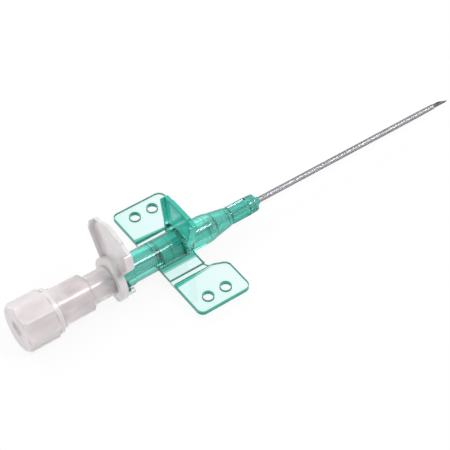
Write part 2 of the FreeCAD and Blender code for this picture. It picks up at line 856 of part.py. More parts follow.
# Luer cap: an eight-sided grip with four ribs behind a round band, and a male stem inside
def build_luer_cap():
    body = new_body("luer_cap", cap_x)
    rear = -size("cap_length")
    band_rear = -size("cap_band_length")
    revolve(body, "cap_band", [
        (0, 0),
        (0, size("cap_band_radius") - size("cap_band_bevel")),
        (-size("cap_band_bevel"), size("cap_band_radius")),
        (band_rear, size("cap_band_radius")),
        (band_rear, 0),
    ])
    before = volume(body)
    turn = size("cap_turn").number
    sketch = new_sketch(body, "grip_outline", "YZ_Plane", rear, turn)
    flat_share = math.sqrt(0.5)
    reach = size("cap_corner_radius")
    draw_outline(sketch, [
        (reach, 0), (reach * flat_share, reach * flat_share),
        (0, reach), (-reach * flat_share, reach * flat_share),
        (-reach, 0), (-reach * flat_share, -reach * flat_share),
        (0, -reach), (reach * flat_share, -reach * flat_share),
    ])
    grip = body.newObject("PartDesign::Pad", "grip")
    grip.Profile = sketch
    bind(grip, "Length", size("cap_length") - size("cap_band_length"))
    assert volume(body) > before, "grip"
    before = volume(body)
    rib_rear = band_rear - size("cap_rib_length")
    sketch = new_sketch(body, "rib_outline", "YZ_Plane", rib_rear, turn)
    half = size("cap_rib_half_width")
    draw_outline(sketch, [
        (reach - 1, -half), (size("cap_rib_radius"), -half),
        (size("cap_rib_radius"), half), (reach - 1, half),
    ])
    rib = body.newObject("PartDesign::Pad", "rib")
    rib.Profile = sketch
    bind(rib, "Length", size("cap_rib_length"))
    assert volume(body) > before, "rib"
    repeat_round(body, "ribs", rib, 4)
    bevel = size("cap_edge_bevel")
    bore(body, "rear_bevel", [
        (rear, reach - bevel * 1.3),
        (rear, reach + 1),
        (rear + bevel, reach + 1),
        (rear + bevel, reach),
    ])
    bore(body, "cap_bore", [
        (0, 0),
        (0, size("cap_bore_radius")),
        (rear + size("cap_wall"), size("cap_bore_radius")),
        (rear + size("cap_wall"), 0),
    ])
    bore(body, "rear_dimple", [
        (rear, 0),
        (rear, size("cap_dimple_radius")),
        (rear + size("cap_dimple_depth"), size("cap_dimple_radius") - size("cap_dimple_depth")),
        (rear + size("cap_dimple_depth"), 0),
    ])
    neck_mouth = size("cap_gap") - size("plug_neck_length")
    stem_rear = rear + size("cap_wall")
    stem_front = stem_rear + size("cap_stem_length")
    revolve(body, "cap_stem", [
        (stem_rear - 0.2, 0),
        (stem_rear - 0.2, stem_radius(stem_rear - 0.2 - neck_mouth)),
        (stem_front - 0.4, stem_radius(stem_front - 0.4 - neck_mouth)),
        (stem_front, stem_radius(stem_front - neck_mouth) - 0.3),
        (stem_front, 0),
    ])
    return body


pieces = [
    build_catheter_hub(),
    build_catheter_tube(),
    build_ferrule(),
    build_needle(),
    build_needle_hub(),
    build_flash_plug(),
    build_filter_disc(),
    build_luer_cap(),
]
document.recompute()

for thing in document.Objects:
    assert not {"Invalid", "Error"} & set(thing.State), thing.Name
os.makedirs("parts", exist_ok=True)
for piece in pieces:
    shape = piece.Shape
    assert not shape.isNull() and shape.isValid() and len(shape.Solids) == 1, piece.Label
    shape.exportStep(f"parts/{piece.Label}.step")
    print(piece.Label, round(shape.Volume, 2))
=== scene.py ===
import bmesh
import bpy
import math
from mathutils import Matrix, Vector


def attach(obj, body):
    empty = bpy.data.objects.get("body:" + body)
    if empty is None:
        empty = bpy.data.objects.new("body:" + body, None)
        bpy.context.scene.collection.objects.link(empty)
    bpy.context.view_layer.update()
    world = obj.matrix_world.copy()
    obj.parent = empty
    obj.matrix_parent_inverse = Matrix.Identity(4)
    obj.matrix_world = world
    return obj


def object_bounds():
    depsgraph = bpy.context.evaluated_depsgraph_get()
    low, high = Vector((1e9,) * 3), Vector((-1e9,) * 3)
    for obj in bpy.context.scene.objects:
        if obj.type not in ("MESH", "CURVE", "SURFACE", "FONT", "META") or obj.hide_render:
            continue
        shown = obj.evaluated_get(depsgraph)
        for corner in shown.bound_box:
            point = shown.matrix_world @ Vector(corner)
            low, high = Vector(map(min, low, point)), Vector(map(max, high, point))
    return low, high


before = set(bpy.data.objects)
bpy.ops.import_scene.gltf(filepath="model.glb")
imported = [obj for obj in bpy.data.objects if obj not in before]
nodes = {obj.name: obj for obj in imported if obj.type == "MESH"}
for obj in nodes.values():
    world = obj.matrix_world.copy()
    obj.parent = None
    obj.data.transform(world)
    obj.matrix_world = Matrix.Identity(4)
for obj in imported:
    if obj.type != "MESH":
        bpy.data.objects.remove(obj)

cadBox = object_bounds()
scene = bpy.context.scene
print("frame loaded:", ", ".join(sorted(nodes)))


def linear(text):
    # sRGB hex to the linear colour that nodes take
    parts = [int(text[i:i + 2], 16) / 255 for i in (1, 3, 5)]
    return [c / 12.92 if c <= 0.04045 else ((c + 0.055) / 1.055) ** 2.4 for c in parts] + [1.0]


def addNode(tree, kind, settings=None, links=None):
    node = tree.nodes.new(kind)
    for name, value in (settings or {}).items():
        if isinstance(name, int) or name in node.inputs:
            node.inputs[name].default_value = value
        else:
            setattr(node, name, value)
    for name, source in (links or {}).items():
        tree.links.new(source, node.inputs[name])
    return node


def newMaterial(name):
    material = bpy.data.materials.new(name)
    material.use_nodes = True
    material.node_tree.nodes.clear()
    return material, material.node_tree


def finishMaterial(tree, surface, volume=None):
    out = addNode(tree, "ShaderNodeOutputMaterial", links={"Surface": surface})
    if volume is not None:
        tree.links.new(volume, out.inputs["Volume"])


def edgeShare(tree, radius):
    # 1 along a moulding's edges and 0 on its faces, from normals rounded over this radius:
    # it starts where they lean 6 degrees apart and is full at 22
    shape = addNode(tree, "ShaderNodeNewGeometry")
    rounded = addNode(tree, "ShaderNodeBevel", {"samples": 4, "Radius": radius})
    match = addNode(tree, "ShaderNodeVectorMath", {"operation": "DOT_PRODUCT"},
                    {0: shape.outputs["Normal"], 1: rounded.outputs[0]})
    return addNode(tree, "ShaderNodeMapRange", {"From Min": 0.995, "From Max": 0.93},
                   {"Value": match.outputs["Value"]}).outputs[0]


def dress(nodeName, material):
    piece = nodes[nodeName]
    for i in range(len(piece.material_slots)):
        piece.material_slots[i].material = material


def selectFaces(piece, wanted):
    # goes into edit mode with only the wanted faces selected
    bpy.ops.object.mode_set(mode="EDIT")
    bpy.ops.mesh.select_mode(type="FACE")
    bpy.ops.mesh.select_all(action="DESELECT")
    mesh = bmesh.from_edit_mesh(piece.data)
    for face in mesh.faces:
        face.select_set(wanted(face))
    bmesh.update_edit_mesh(piece.data)


def recalculateNormals():
    # a closed shell comes out facing outwards; an open one may not
    bpy.ops.object.mode_set(mode="EDIT")
    bpy.ops.mesh.select_all(action="SELECT")
    bpy.ops.mesh.normals_make_consistent(inside=False)
    bpy.ops.object.mode_set(mode="OBJECT")


def settle(piece, material, body):
    # names the piece's finish and the body it rides on
    piece.data.materials.clear()
    piece.data.materials.append(material)
    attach(piece, body)


# camera: the photograph's viewing angle
camera = {
    "place": (-0.12445, -0.16058, 0.21740),
    "tilt": 90 - 47.898,         # degrees
    "turn": -35.941,
    "lens": 120.0, "sensor": 36.0,
    "near": 0.01,
}
cameraData = bpy.data.cameras.new("camera")
cameraData.lens = camera["lens"]
cameraData.sensor_width = camera["sensor"]
cameraData.clip_start = camera["near"]
cameraObject = bpy.data.objects.new("camera", cameraData)
cameraObject.location = camera["place"]
cameraObject.rotation_euler = (math.radians(camera["tilt"]), 0, math.radians(camera["turn"]))
scene.collection.objects.link(cameraObject)
scene.camera = cameraObject
print("camera placed")

# green hub: tinted clear copolyester, injection moulded and glossy
greenHub = {
    "wingFace": "#FFFFFF",       # thin wings pass nearly all light
    "wingDeep": "#D3FAF5",       # and pool a little colour towards their rear
    "wingWall": "#2DA891",       # light runs along the wings and leaves at their walls
    "barrel": "#CCFFF9",
    "streak": "#3FDAC8",         # flow lines along the barrel
    "nose": "#80EDE0",
    "tab": "#66F2E0", "tabTop": "#38C9B5",
    "rim": "#1F9F8C",            # painted shade: edges and steps are painted darker than the faces
    "underside": "#27A792",      # less light comes back from the lower side of the barrel
    "undersideShare": 0.8,
    "band": "#4CD0BD",           # a ribbed band behind the tab
    # the band's dark lines, also used as painted shade at the profile's steps
    "bandLineAndStepShade": "#229D8A",
    "wingWallClear": 0.3, "barrelClear": 0.96, "noseClear": 0.72,
    "tabClear": 0.35, "bandClear": 0.5,
    "depthColour": "#00F5ED",    # what thick places leave of the light
    "depthPerMetre": 170.0,
    "roughness": 0.05,
    "wingTop": -0.00195,         # wings lie below this and beyond this far from the axis
    "wingRoot": 0.0028,
    "wingFade": 0.0002,          # how softly one part's look turns into the next one's
    "flatLean": (0.8, 0.95),     # faces as level as this are a wing's top or underside
    "poolWidth": 0.0091,         # cloudy patches in the wings
    "poolFront": -0.014, "poolRear": -0.027, "poolShare": 0.8,
    "tabFoot": 0.0033,           # the tab stands above this
    "tabFade": 0.0006,
    "tabHead": 0.0085,           # its plate is thicker here, so deeper in colour
    "noseRear": -0.0128, "noseFade": 0.002,
    "barrelRadius": 0.0029,
    "streakWidth": 0.0009,
    "streakStretch": 0.03,       # flow lines vary this much less along the barrel than round it
    "streakShare": (0.5, 0.66),
    "undersideLean": (0.1, -0.5),
    "edgeView": (0.35, 0.7),     # painted shade: a clear wall seen edge-on is painted as dark as the rim
    "rimWidth": 0.00018,
    "bandRear": -0.0244, "bandFront": -0.0195,
    "bandLines": (-0.0244, -0.0222, -0.0197),
    # painted shade: dark lines at the steps of the barrel's and nose's profile
    "stepShadeLines": (-0.0133, -0.0114, -0.0082, -0.0073),
    "bandLineWidth": 0.00022,
    "bandShare": (0.35, 0.55),
    "bandReach": 0.0031,         # from the axis
    "grooveWall": 0.00655,       # the hinge groove's outer wall shows through as a wedge
    "grooveWedge": 0.0008,
    "grooveRear": -0.0248, "grooveFront": -0.0145,
}


def makeGreenPlastic():
    # gives thin mint wings with deep green walls, a solid-looking tab and a clear streaked barrel
    look = greenHub
    material, tree = newMaterial("greenCopolyester")
    coords = addNode(tree, "ShaderNodeTexCoord").outputs["Object"]
    place = addNode(tree, "ShaderNodeSeparateXYZ", links={0: coords})
    along, up = place.outputs["X"], place.outputs["Z"]
    across = addNode(tree, "ShaderNodeMath", {"operation": "ABSOLUTE"},
                     {0: place.outputs["Y"]}).outputs[0]

    # zones: wings, tab, nose
    lowDown = addNode(tree, "ShaderNodeMapRange", {
        "From Min": look["wingTop"] + look["wingFade"], "From Max": look["wingTop"],
    }, {"Value": up}).outputs[0]
    outside = addNode(tree, "ShaderNodeMapRange", {
        "From Min": look["wingRoot"], "From Max": look["wingRoot"] + look["wingFade"],
    }, {"Value": across}).outputs[0]
    wing = addNode(tree, "ShaderNodeMath", {"operation": "MULTIPLY"},
                   {0: lowDown, 1: outside}).outputs[0]
    tab = addNode(tree, "ShaderNodeMapRange", {
        "From Min": look["tabFoot"] - look["tabFade"], "From Max": look["tabFoot"],
    }, {"Value": up}).outputs[0]
    nose = addNode(tree, "ShaderNodeMapRange", {
        "From Min": look["noseRear"], "From Max": look["noseRear"] + look["noseFade"],
    }, {"Value": along}).outputs[0]
    shape = addNode(tree, "ShaderNodeNewGeometry")
    lean = addNode(tree, "ShaderNodeSeparateXYZ", links={0: shape.outputs["True Normal"]})
    level = addNode(tree, "ShaderNodeMath", {"operation": "ABSOLUTE"}, {0: lean.outputs["Z"]})
    flat = addNode(tree, "ShaderNodeMapRange", {
        "From Min": look["flatLean"][0], "From Max": look["flatLean"][1],
    }, {"Value": level.outputs[0]}).outputs[0]

    # wings: a little more colour towards the rear, and the groove's wall seen through them
    cloud = addNode(tree, "ShaderNodeTexNoise", {"Scale": 1 / look["poolWidth"], "Detail": 2.0},
                    {"Vector": coords}).outputs[0]
    rear = addNode(tree, "ShaderNodeMapRange", {
        "From Min": look["poolFront"], "From Max": look["poolRear"], "To Max": look["poolShare"],
    }, {"Value": along}).outputs[0]
    pool = addNode(tree, "ShaderNodeMath", {"operation": "MULTIPLY"},
                   {0: cloud, 1: rear}).outputs[0]
    wedgeEnd = addNode(tree, "ShaderNodeMapRange", {
        "From Min": look["grooveRear"], "From Max": look["grooveFront"],
        "To Min": look["grooveWall"] + look["grooveWedge"], "To Max": look["grooveWall"],
    }, {"Value": along}).outputs[0]
    beyond = addNode(tree, "ShaderNodeMath", {"operation": "GREATER_THAN", 1: look["grooveWall"]},
                     {0: across}).outputs[0]
    before = addNode(tree, "ShaderNodeMath", {"operation": "LESS_THAN"},
                     {0: across, 1: wedgeEnd}).outputs[0]
    wedge = addNode(tree, "ShaderNodeMath", {"operation": "MULTIPLY"},
                    {0: beyond, 1: before}).outputs[0]

    # barrel: flow lines, drawn out along the axis and even round it
    flatten = addNode(tree, "ShaderNodeVectorMath", {"operation": "MULTIPLY", 1: (0, 1, 1)},
                      {0: coords})
    outward = addNode(tree, "ShaderNodeVectorMath", {"operation": "NORMALIZE"},
                      {0: flatten.outputs[0]})
    girth = addNode(tree, "ShaderNodeVectorMath", {
        "operation": "SCALE", "Scale": look["barrelRadius"],
    }, {0: outward.outputs[0]})
    drawn = addNode(tree, "ShaderNodeVectorMath", {
        "operation": "MULTIPLY", 1: (look["streakStretch"], 0, 0),
    }, {0: coords})
    line = addNode(tree, "ShaderNodeVectorMath", {"operation": "ADD"},
                   {0: girth.outputs[0], 1: drawn.outputs[0]})
    flow = addNode(tree, "ShaderNodeTexNoise", {"Scale": 1 / look["streakWidth"], "Detail": 1.0},
                   {"Vector": line.outputs[0]}).outputs[0]
    streak = addNode(tree, "ShaderNodeMapRange", {
        "From Min": look["streakShare"][0], "From Max": look["streakShare"][1],
    }, {"Value": flow}).outputs[0]

    # band behind the tab: less clear, with a dark line at each end and one round its middle
    bandStart = addNode(tree, "ShaderNodeMath", {"operation": "GREATER_THAN", 1: look["bandRear"]},
                        {0: along}).outputs[0]
    bandEnd = addNode(tree, "ShaderNodeMath", {"operation": "LESS_THAN", 1: look["bandFront"]},
                      {0: along}).outputs[0]
    band = addNode(tree, "ShaderNodeMath", {"operation": "MULTIPLY"},
                   {0: bandStart, 1: bandEnd}).outputs[0]
    fromAxis = addNode(tree, "ShaderNodeVectorMath", {"operation": "LENGTH"},
                       {0: flatten.outputs[0]}).outputs["Value"]
    onBarrel = addNode(tree, "ShaderNodeMath", {"operation": "LESS_THAN", 1: look["bandReach"]},
                       {0: fromAxis}).outputs[0]
    band = addNode(tree, "ShaderNodeMath", {"operation": "MULTIPLY"},
                   {0: band, 1: onBarrel}).outputs[0]
    fine = addNode(tree, "ShaderNodeTexNoise", {"Scale": 1 / look["bandLineWidth"], "Detail": 0.0},
                   {"Vector": line.outputs[0]}).outputs[0]
    fineShare = addNode(tree, "ShaderNodeMapRange", {
        "From Min": look["bandShare"][0], "From Max": look["bandShare"][1],
    }, {"Value": fine}).outputs[0]
    bandSkin = addNode(tree, "ShaderNodeMix", {
        "data_type": "RGBA", 6: linear(look["bandLineAndStepShade"]), 7: linear(look["band"]),
    }, {0: fineShare}).outputs[2]
    ring = None      # dark lines round the barrel: the band's lines, and painted shade at the profile's steps
    for spot in look["bandLines"] + look["stepShadeLines"]:
        near = addNode(tree, "ShaderNodeMath", {
            "operation": "COMPARE", 1: spot, 2: look["bandLineWidth"] / 2,
        }, {0: along}).outputs[0]
        ring = near if ring is None else addNode(tree, "ShaderNodeMath", {"operation": "MAXIMUM"},
                                                 {0: ring, 1: near}).outputs[0]
    ring = addNode(tree, "ShaderNodeMath", {"operation": "MULTIPLY"},
                   {0: ring, 1: onBarrel}).outputs[0]

    # one colour out of the zones
    # painted shade: mask of the moulding's edges and steps, painted in the rim's darker colour
    rim = edgeShare(tree, look["rimWidth"])
    face = addNode(tree, "ShaderNodeMix", {
        "data_type": "RGBA", 6: linear(look["wingFace"]), 7: linear(look["wingDeep"]),
    }, {0: pool}).outputs[2]
    face = addNode(tree, "ShaderNodeMix", {"data_type": "RGBA", 7: linear(look["wingWall"])},
                   {0: wedge, 6: face}).outputs[2]
    wingSkin = addNode(tree, "ShaderNodeMix", {"data_type": "RGBA", 6: linear(look["wingWall"])},
                       {0: flat, 7: face}).outputs[2]
    body = addNode(tree, "ShaderNodeMix", {
        "data_type": "RGBA", 6: linear(look["barrel"]), 7: linear(look["nose"]),
    }, {0: nose}).outputs[2]
    body = addNode(tree, "ShaderNodeMix", {"data_type": "RGBA", 7: linear(look["streak"])},
                   {0: streak, 6: body}).outputs[2]
    body = addNode(tree, "ShaderNodeMix", {"data_type": "RGBA"},
                   {0: band, 6: body, 7: bandSkin}).outputs[2]
    steep = addNode(tree, "ShaderNodeMath", {"operation": "DIVIDE"}, {0: up, 1: fromAxis})
    under = addNode(tree, "ShaderNodeMapRange", {
        "From Min": look["undersideLean"][0], "From Max": look["undersideLean"][1],
        "To Max": look["undersideShare"],
    }, {"Value": steep.outputs[0]}).outputs[0]
    body = addNode(tree, "ShaderNodeMix", {"data_type": "RGBA", 7: linear(look["underside"])},
                   {0: under, 6: body}).outputs[2]
    # painted shade on clear walls seen edge-on, in the rim's colour
    wallOn = addNode(tree, "ShaderNodeLayerWeight", {"Blend": 0.5}).outputs["Facing"]
    edgeOn = addNode(tree, "ShaderNodeMapRange", {
        "From Min": look["edgeView"][0], "From Max": look["edgeView"][1],
    }, {"Value": wallOn}).outputs[0]
    body = addNode(tree, "ShaderNodeMix", {"data_type": "RGBA", 7: linear(look["rim"])},
                   {0: edgeOn, 6: body}).outputs[2]
    body = addNode(tree, "ShaderNodeMix", {"data_type": "RGBA", 7: linear(look["rim"])},
                   {0: rim, 6: body}).outputs[2]
    # the band's dark lines and the painted shade at the profile's steps
    body = addNode(tree, "ShaderNodeMix", {"data_type": "RGBA", 7: linear(look["bandLineAndStepShade"])},
                   {0: ring, 6: body}).outputs[2]
    rise = addNode(tree, "ShaderNodeMapRange", {
        "From Min": look["tabFoot"], "From Max": look["tabHead"],
    }, {"Value": up}).outputs[0]
    tabSkin = addNode(tree, "ShaderNodeMix", {
        "data_type": "RGBA", 6: linear(look["tab"]), 7: linear(look["tabTop"]),
    }, {0: rise}).outputs[2]
    # painted shade along the tab's edges
    tabSkin = addNode(tree, "ShaderNodeMix", {"data_type": "RGBA", 7: linear(look["rim"])},
                      {0: rim, 6: tabSkin}).outputs[2]
    body = addNode(tree, "ShaderNodeMix", {"data_type": "RGBA"},
                   {0: tab, 6: body, 7: tabSkin}).outputs[2]
    colour = addNode(tree, "ShaderNodeMix", {"data_type": "RGBA"},
                     {0: wing, 6: body, 7: wingSkin}).outputs[2]

    # and one share of light let through
    wingClear = addNode(tree, "ShaderNodeMapRange", {"To Min": look["wingWallClear"]},
                        {"Value": flat}).outputs[0]
    bodyClear = addNode(tree, "ShaderNodeMapRange", {
        "To Min": look["barrelClear"], "To Max": look["noseClear"],
    }, {"Value": nose}).outputs[0]
    bodyClear = addNode(tree, "ShaderNodeMix", {"data_type": "FLOAT", 3: look["bandClear"]},
                        {0: band, 2: bodyClear}).outputs[0]
    bodyClear = addNode(tree, "ShaderNodeMix", {"data_type": "FLOAT", 3: look["tabClear"]},
                        {0: tab, 2: bodyClear}).outputs[0]
    clear = addNode(tree, "ShaderNodeMix", {"data_type": "FLOAT"},
                    {0: wing, 2: bodyClear, 3: wingClear}).outputs[0]

    skin = addNode(tree, "ShaderNodeBsdfPrincipled", {"Roughness": look["roughness"], "IOR": 1.5},
                   {"Base Color": colour, "Transmission Weight": clear})
    depth = addNode(tree, "ShaderNodeVolumeAbsorption", {
        "Color": linear(look["depthColour"]), "Density": look["depthPerMetre"],
    })
    finishMaterial(tree, skin.outputs[0], depth.outputs[0])
    return material


# milky pieces: natural polypropylene and polyethylene, moulded and glossy
milky = {
    "needleHub": {"colour": "#FFF9FA", "dim": "#F3E9EA", "edge": "#FFFCFC",
                  "chamberClear": 0.66, "plateClear": 0.36, "roughness": 0.16, "cloud": 0.05},
    "flashPlug": {"colour": "#FCF4F5", "dim": "#E2D7D9", "edge": "#FFFDFD",
                  "chamberClear": 0.5, "plateClear": 0.5, "roughness": 0.17, "cloud": 0.05},
    "luerCap": {"colour": "#F5ECED", "dim": "#E9DDDF", "edge": "#FFFCFC",
                "chamberClear": 0.28, "plateClear": 0.28, "roughness": 0.2, "cloud": 0.06},
    "chamberRadius": 0.0031,     # what stands further from the axis is plate or cap
    "chamberFade": 0.0003,
    "crease": "#D3C9CC",         # where plastic faces plastic, less light comes back out
    "creaseReach": 0.0009,
    # painted highlight: edges are painted paler over this width
    "edgeWidth": 0.00012,
    "swirl": 0.003,              # cloudy flow of the melt, drawn out along the axis
    "swirlStretch": 0.45,
    "swirlShare": (0.38, 0.62),
    "coat": 0.8, "coatRoughness": 0.3,
    "scatter": 0.3, "scatterReach": (0.002, 0.0018, 0.0018),
}


def makeMilkyPlastic(name, look):
    # gives a soft, cloudy white with a glossy streak, edges painted paler as a painted highlight,
    # and blurred depth behind it
    material, tree = newMaterial(name)
    coords = addNode(tree, "ShaderNodeTexCoord").outputs["Object"]
    flowing = addNode(tree, "ShaderNodeMapping", {"Scale": (milky["swirlStretch"], 1.0, 1.0)},
                      {"Vector": coords})
    cloud = addNode(tree, "ShaderNodeTexNoise", {"Scale": 1 / milky["swirl"], "Detail": 2.0},
                    {"Vector": flowing.outputs[0]}).outputs[0]
    roughness = addNode(tree, "ShaderNodeMapRange", {
        "To Min": look["roughness"] - look["cloud"], "To Max": look["roughness"] + look["cloud"],
    }, {"Value": cloud}).outputs[0]
    flatten = addNode(tree, "ShaderNodeVectorMath", {"operation": "MULTIPLY", 1: (0, 1, 1)},
                      {0: coords})
    fromAxis = addNode(tree, "ShaderNodeVectorMath", {"operation": "LENGTH"},
                       {0: flatten.outputs[0]}).outputs["Value"]
    clear = addNode(tree, "ShaderNodeMapRange", {
        "From Min": milky["chamberRadius"],
        "From Max": milky["chamberRadius"] + milky["chamberFade"],
        "To Min": look["chamberClear"], "To Max": look["plateClear"],
    }, {"Value": fromAxis}).outputs[0]
    hollow = addNode(tree, "ShaderNodeAmbientOcclusion", {
        "samples": 8, "only_local": True, "Distance": milky["creaseReach"],
    }).outputs["AO"]
    swirl = addNode(tree, "ShaderNodeMapRange", {
        "From Min": milky["swirlShare"][0], "From Max": milky["swirlShare"][1],
    }, {"Value": cloud}).outputs[0]
    colour = addNode(tree, "ShaderNodeMix", {
        "data_type": "RGBA", 6: linear(look["dim"]), 7: linear(look["colour"]),
    }, {0: swirl}).outputs[2]
    colour = addNode(tree, "ShaderNodeMix", {"data_type": "RGBA", 6: linear(milky["crease"])},
                     {0: hollow, 7: colour}).outputs[2]
    # painted highlight along the moulding's edges
    colour = addNode(tree, "ShaderNodeMix", {"data_type": "RGBA", 7: linear(look["edge"])},
                     {0: edgeShare(tree, milky["edgeWidth"]), 6: colour}).outputs[2]
    skin = addNode(tree, "ShaderNodeBsdfPrincipled", {
        "IOR": 1.49,
        "Coat Weight": milky["coat"],
        "Coat Roughness": milky["coatRoughness"],
        "Subsurface Weight": milky["scatter"],
        "Subsurface Radius": milky["scatterReach"],
        "Subsurface Scale": 1.0,
    }, {"Base Color": colour, "Transmission Weight": clear, "Roughness": roughness})
    finishMaterial(tree, skin.outputs[0])
    return material


# needle and ferrule: drawn stainless steel
steel = {
    "light": "#CCCACF", "dark": "#8B8890",
    "ground": "#6C6970",         # the ground point scatters more and reads darker
    "groundFrom": 0.0459,
    "roughness": 0.27, "roughnessSpread": 0.05,
    "lineWidth": 0.0005,         # die lines, drawn coarser than the real 0.02 mm so that they show
    "lineStretch": 0.004,        # they vary this much less along the needle than round it
    "lineShare": (0.35, 0.6),
}


def makeSteel():
    # gives a satin grey with faint lines from the drawing die, and a darker ground point
    material, tree = newMaterial("drawnStainlessSteel")
    coords = addNode(tree, "ShaderNodeTexCoord")
    stretch = addNode(tree, "ShaderNodeMapping", {"Scale": (steel["lineStretch"], 1.0, 1.0)},
                      {"Vector": coords.outputs["Object"]})
    lines = addNode(tree, "ShaderNodeTexNoise", {"Scale": 1 / steel["lineWidth"], "Detail": 0.0},
                    {"Vector": stretch.outputs[0]}).outputs[0]
    share = addNode(tree, "ShaderNodeMapRange", {
        "From Min": steel["lineShare"][0], "From Max": steel["lineShare"][1],
    }, {"Value": lines}).outputs[0]
    colour = addNode(tree, "ShaderNodeMix", {
        "data_type": "RGBA", 6: linear(steel["dark"]), 7: linear(steel["light"]),
    }, {0: share}).outputs[2]
    along = addNode(tree, "ShaderNodeSeparateXYZ", links={0: coords.outputs["Object"]})
    point = addNode(tree, "ShaderNodeMath", {"operation": "GREATER_THAN", 1: steel["groundFrom"]},
                    {0: along.outputs["X"]}).outputs[0]
    colour = addNode(tree, "ShaderNodeMix", {"data_type": "RGBA", 7: linear(steel["ground"])},
                     {0: point, 6: colour}).outputs[2]
    roughness = addNode(tree, "ShaderNodeMapRange", {
        "To Min": steel["roughness"] - steel["roughnessSpread"],
        "To Max": steel["roughness"] + steel["roughnessSpread"],
    }, {"Value": lines}).outputs[0]
    skin = addNode(tree, "ShaderNodeBsdfPrincipled", {"Metallic": 1.0},
                   {"Base Color": colour, "Roughness": roughness})
    finishMaterial(tree, skin.outputs[0])
    return material


# catheter tube: clear fluoropolymer, extruded
tube = {
    "colour": "#FFFFFF", "edgeOnShade": "#6F6C74",   # painted shade: a clear wall seen edge-on is painted grey
    "edgeView": (0.14, 0.5),
    "clear": 0.95,
    "roughness": 0.3, "roughnessSpread": 0.04,
    "lineWidth": 0.0004,         # drawn coarser than the real lines so that they show
    "lineStretch": 0.004,
}


def makeTubing():
    # gives a thin clear skin that shows the steel inside, with faint lines from the extruder and
    # painted shade where the wall is seen edge-on
    material, tree = newMaterial("clearFluoropolymer")
    coords = addNode(tree, "ShaderNodeTexCoord")
    stretch = addNode(tree, "ShaderNodeMapping", {"Scale": (tube["lineStretch"], 1.0, 1.0)},
                      {"Vector": coords.outputs["Object"]})
    lines = addNode(tree, "ShaderNodeTexNoise", {"Scale": 1 / tube["lineWidth"], "Detail": 0.0},
                    {"Vector": stretch.outputs[0]}).outputs[0]
    roughness = addNode(tree, "ShaderNodeMapRange", {
        "To Min": tube["roughness"] - tube["roughnessSpread"],
        "To Max": tube["roughness"] + tube["roughnessSpread"],
    }, {"Value": lines}).outputs[0]
    # painted shade: grey where the wall is seen edge-on
    wallOn = addNode(tree, "ShaderNodeLayerWeight", {"Blend": 0.5}).outputs["Facing"]
    edgeOn = addNode(tree, "ShaderNodeMapRange", {
        "From Min": tube["edgeView"][0], "From Max": tube["edgeView"][1],
    }, {"Value": wallOn}).outputs[0]
    colour = addNode(tree, "ShaderNodeMix", {
        "data_type": "RGBA", 6: linear(tube["colour"]), 7: linear(tube["edgeOnShade"]),
    }, {0: edgeOn}).outputs[2]
    skin = addNode(tree, "ShaderNodeBsdfPrincipled", {
        "Transmission Weight": tube["clear"], "IOR": 1.35,
    }, {"Base Color": colour, "Roughness": roughness})
    finishMaterial(tree, skin.outputs[0])
    return material


# filter disc: porous polyethylene, sintered from grains
porous = {
    "colour": "#F0EEEE", "roughness": 0.8,
    "grain": 0.00025,
    "bump": 0.3, "bumpHeight": 0.00005,
}


def makePorous():
    # gives a chalky white disc
    material, tree = newMaterial("porousPolyethylene")
    coords = addNode(tree, "ShaderNodeTexCoord")
    grains = addNode(tree, "ShaderNodeTexNoise", {"Scale": 1 / porous["grain"]},
                     {"Vector": coords.outputs["Object"]})
    bump = addNode(tree, "ShaderNodeBump", {
        "Strength": porous["bump"], "Distance": porous["bumpHeight"],
    }, {"Height": grains.outputs[0]})
    skin = addNode(tree, "ShaderNodeBsdfPrincipled", {
        "Base Color": linear(porous["colour"]), "Roughness": porous["roughness"],
    }, {"Normal": bump.outputs[0]})
    finishMaterial(tree, skin.outputs[0])
    return material


greenMaterial = makeGreenPlastic()
steelMaterial = makeSteel()
dress("catheter_hub", greenMaterial)
dress("catheter_tube", makeTubing())
dress("ferrule", steelMaterial)
dress("needle_cannula", steelMaterial)
dress("needle_hub", makeMilkyPlastic("clearPolypropylene", milky["needleHub"]))
dress("flash_plug", makeMilkyPlastic("cloudyPolypropylene", milky["flashPlug"]))
dress("filter_disc", makePorous())
dress("luer_cap", makeMilkyPlastic("milkyPolyethylene", milky["luerCap"]))
print("materials set")

# grip ribs along the nose's four flats
noseRib = {
    "rear": -0.00725, "front": -0.00275,
    "foot": 0.00138, "top": 0.00188,     # from the axis
    "width": 0.00085,
    "topLong": 0.93, "topWide": 0.7,     # the top's share of the foot's length and width
    "bevel": 0.00012,
    "count": 4,
}


